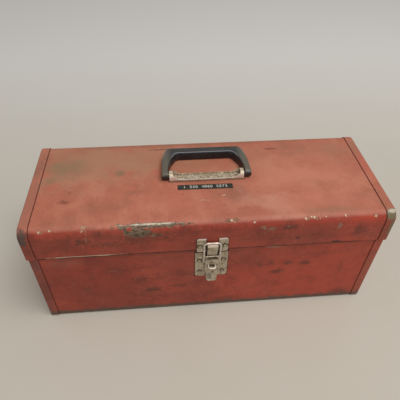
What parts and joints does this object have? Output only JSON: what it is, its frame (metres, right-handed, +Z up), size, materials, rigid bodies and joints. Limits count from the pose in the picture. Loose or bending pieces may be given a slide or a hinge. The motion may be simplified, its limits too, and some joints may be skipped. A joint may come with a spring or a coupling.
{
  "type": "tool box",
  "caption": "Folded sheet-steel tool box with a rear-hinged lid, a draw latch with a padlock staple, a fold-flat carry handle and a lift-out tray.",
  "frame": {"origin": "at floor level, in the middle of the overall footprint", "axes": "+X along the box to the user's right, +Y towards the rear hinge, +Z up"},
  "size_m": [0.483, 0.1938, 0.1998],
  "materials": {
    "red_enamel": "worn semi-gloss enamel on sheet steel",
    "tray_enamel": "semi-gloss enamel on sheet steel",
    "nickel_plate": "dull, pitted nickel plate on pressed steel",
    "hinge_steel": "dull rolled steel",
    "bare_steel": "dull zinc-plated steel",
    "black_plastic": "satin moulded plastic",
    "label_vinyl": "satin embossing tape"
  },
  "bodies": {
    "root": {"body_wrapper": "red_enamel", "body_end_left": "red_enamel", "body_end_right": "red_enamel", "hinge_leaf_body": "hinge_steel", "hinge_pin": "hinge_steel", "hinge_rivets_body": "hinge_steel", "latch_base": "nickel_plate", "latch_base_rivets": "nickel_plate", "latch_base_studs": "nickel_plate", "latch_lever_pin": "nickel_plate", "padlock_staple": "nickel_plate", "tray_rest_left": "bare_steel", "tray_rest_right": "bare_steel"},
    "lid": {"lid_wrapper": "red_enamel", "lid_end_left": "red_enamel", "lid_end_right": "red_enamel", "hinge_leaf_lid": "hinge_steel", "hinge_rivets_lid": "hinge_steel", "latch_keeper": "nickel_plate", "latch_keeper_rivets": "nickel_plate", "handle_base": "nickel_plate", "handle_base_rivets": "nickel_plate", "handle_pins": "nickel_plate", "handle_backing_plate": "bare_steel", "label_tape": "label_vinyl"},
    "handle": {"carry_handle": "black_plastic"},
    "latch_lever": {"latch_lever": "nickel_plate"},
    "latch_loop": {"latch_loop": "nickel_plate"},
    "tray": {"tray_pan": "tray_enamel", "tray_divider_left": "tray_enamel", "tray_divider_right": "tray_enamel", "tray_handle": "bare_steel", "tray_handle_rivets": "bare_steel"}
  },
  "joints": [
    {"name": "lid_hinge", "type": "hinge", "parent": "root", "child": "lid", "pos_m": [0, 0.0923, 0.137], "axis": [-1, 0, 0], "range_deg": [0, 105]},
    {"name": "handle_pivot", "type": "hinge", "parent": "lid", "child": "handle", "pos_m": [0, 0.0053, 0.1933], "axis": [1, 0, 0], "range_deg": [0, 180]},
    {"name": "lever_pivot", "type": "hinge", "parent": "root", "child": "latch_lever", "pos_m": [0, -0.0873, 0.1245], "axis": [-1, 0, 0], "range_deg": [0, 110]},
    {"name": "loop_pivot", "type": "hinge", "parent": "latch_lever", "child": "latch_loop", "pos_m": [0, -0.0865, 0.1135], "axis": [-1, 0, 0], "range_deg": [-98, 0]},
    {"name": "tray_lift", "type": "slide", "parent": "root", "child": "tray", "axis": [0, 0, 1], "range_m": [0, 0.02]}
  ],
  "couplings": [
    {"joint": "loop_pivot", "follows": "lever_pivot", "ratio": -0.88}
  ]
}
